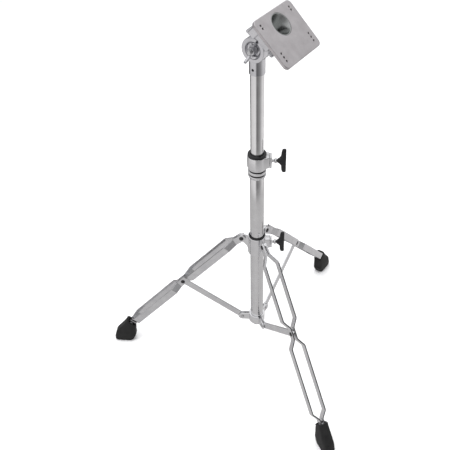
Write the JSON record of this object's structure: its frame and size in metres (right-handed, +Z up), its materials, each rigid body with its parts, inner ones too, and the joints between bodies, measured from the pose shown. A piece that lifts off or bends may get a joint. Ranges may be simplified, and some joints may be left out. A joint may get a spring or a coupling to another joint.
{
  "type": "percussion pad stand",
  "caption": "Folding double-braced tripod stand with a height-clamped chrome column and a tilting rectangular mounting plate for an electronic percussion pad.",
  "frame": {"origin": "centre of the whole stand's box, on the floor under it", "axes": "+Z up along the column; +X towards the clamp bolts; the left leg points along -X, the front leg towards -Y"},
  "size_m": [0.5473, 0.6099, 0.8388],
  "materials": {
    "polished_chrome": "bright polished plating",
    "satin_metal": "satin plate",
    "zinc_steel": "bright fasteners",
    "black_nylon": "moulded, slight sheen",
    "black_rubber": "matt rubber"
  },
  "bodies": {
    "base": {"base_tube": "polished_chrome", "base_tube_plug": "black_nylon", "height_clamp_body": "polished_chrome", "height_clamp_bushing": "black_nylon", "height_clamp_nut": "polished_chrome", "bottom_bracket": "polished_chrome", "strut_left_pivot_pin": "zinc_steel", "strut_back_pivot_pin": "zinc_steel", "strut_front_pivot_pin": "zinc_steel"},
    "height_clamp_bolt": {"height_wing_bolt": "polished_chrome", "height_wing_bolt_handle": "black_nylon"},
    "collar": {"leg_collar": "polished_chrome", "leg_collar_bushing": "black_nylon", "leg_collar_nut": "polished_chrome", "leg_left_pivot_pin": "zinc_steel", "leg_back_pivot_pin": "zinc_steel", "leg_front_pivot_pin": "zinc_steel"},
    "collar_clamp_bolt": {"collar_wing_bolt": "polished_chrome", "collar_wing_bolt_handle": "black_nylon"},
    "leg_left": {"leg_left_outer_strip": "polished_chrome", "leg_left_inner_strip": "polished_chrome", "leg_left_outer_waist_rivet": "zinc_steel", "leg_left_inner_waist_rivet": "zinc_steel", "leg_left_foot": "black_rubber", "leg_left_foot_rivet": "zinc_steel"},
    "strut_left": {"strut_left": "polished_chrome"},
    "leg_back": {"leg_back_outer_strip": "polished_chrome", "leg_back_inner_strip": "polished_chrome", "leg_back_outer_waist_rivet": "zinc_steel", "leg_back_inner_waist_rivet": "zinc_steel", "leg_back_foot": "black_rubber", "leg_back_foot_rivet": "zinc_steel"},
    "strut_back": {"strut_back": "polished_chrome"},
    "leg_front": {"leg_front_outer_strip": "polished_chrome", "leg_front_inner_strip": "polished_chrome", "leg_front_outer_waist_rivet": "zinc_steel", "leg_front_inner_waist_rivet": "zinc_steel", "leg_front_foot": "black_rubber", "leg_front_foot_rivet": "zinc_steel"},
    "strut_front": {"strut_front": "polished_chrome"},
    "upper_column": {"upper_tube": "polished_chrome", "upper_tube_plug": "black_nylon"},
    "tilter_socket": {"tilter_base": "polished_chrome", "tilter_set_screw": "zinc_steel"},
    "wing_nut": {"tilter_wing_nut": "polished_chrome"},
    "plate_arm": {"tilter_arm": "polished_chrome", "tilter_pivot_bolt": "zinc_steel", "tilter_friction_washer": "black_nylon", "mounting_plate": "satin_metal", "recess_cup": "polished_chrome", "recess_screw": "zinc_steel", "arm_lock_screw": "zinc_steel"}
  },
  "joints": [
    {"name": "collar_slide", "type": "slide", "parent": "base", "child": "collar", "axis": [0, 0, 1], "range_m": [0, 0.118]},
    {"name": "leg_left_fold", "type": "hinge", "parent": "collar", "child": "leg_left", "pos_m": [0.04035, 0.01138, 0.3423], "axis": [-0.0581, -0.9983, 0], "range_deg": [0, 39.83]},
    {"name": "strut_left_fold", "type": "hinge", "parent": "base", "child": "strut_left", "pos_m": [0.03945, 0.01144, 0.1001], "axis": [0.0581, 0.9983, 0], "range_deg": [0, 46.16]},
    {"name": "leg_back_fold", "type": "hinge", "parent": "collar", "child": "leg_back", "pos_m": [0.09127, 0.03696, 0.3423], "axis": [-0.8355, 0.5495, 0], "range_deg": [0, 39.83]},
    {"name": "strut_back_fold", "type": "hinge", "parent": "base", "child": "strut_back", "pos_m": [0.09176, 0.03771, 0.1001], "axis": [0.8355, -0.5495, 0], "range_deg": [0, 46.16]},
    {"name": "leg_front_fold", "type": "hinge", "parent": "collar", "child": "leg_front", "pos_m": [0.08796, -0.01993, 0.3423], "axis": [0.8936, 0.4489, 0], "range_deg": [0, 39.83]},
    {"name": "strut_front_fold", "type": "hinge", "parent": "base", "child": "strut_front", "pos_m": [0.08836, -0.02073, 0.1001], "axis": [-0.8936, -0.4489, 0], "range_deg": [0, 46.16]},
    {"name": "tube_slide", "type": "slide", "parent": "base", "child": "upper_column", "axis": [0, 0, 1], "range_m": [-0.155, 0.12]},
    {"name": "tilter_swivel", "type": "hinge", "parent": "upper_column", "child": "tilter_socket", "pos_m": [0.07319, 0.00947, 0.769], "axis": [0, 0, 1], "continuous": true},
    {"name": "plate_tilt", "type": "hinge", "parent": "tilter_socket", "child": "plate_arm", "pos_m": [0.07319, 0.00947, 0.769], "axis": [0.5373, 0.8434, 0], "range_deg": [-41.7, 50]},
    {"name": "wing_nut_turn", "type": "hinge", "parent": "tilter_socket", "child": "wing_nut", "pos_m": [0.07319, 0.00947, 0.769], "axis": [-0.5373, -0.8434, 0], "continuous": true},
    {"name": "height_bolt_turn", "type": "hinge", "parent": "base", "child": "height_clamp_bolt", "pos_m": [0.07319, 0.00947, 0.539], "axis": [1, 0, 0], "range_deg": [0, 270]},
    {"name": "collar_bolt_turn", "type": "hinge", "parent": "collar", "child": "collar_clamp_bolt", "pos_m": [0.07319, 0.00947, 0.332], "axis": [1, 0, 0], "range_deg": [0, 270]}
  ],
  "couplings": [
    {"joint": "leg_left_fold", "follows": "collar_slide", "rad_per_m": 5.891},
    {"joint": "strut_left_fold", "follows": "collar_slide", "rad_per_m": 6.8269},
    {"joint": "leg_back_fold", "follows": "collar_slide", "rad_per_m": 5.891},
    {"joint": "strut_back_fold", "follows": "collar_slide", "rad_per_m": 6.8269},
    {"joint": "leg_front_fold", "follows": "collar_slide", "rad_per_m": 5.891},
    {"joint": "strut_front_fold", "follows": "collar_slide", "rad_per_m": 6.8269}
  ]
}
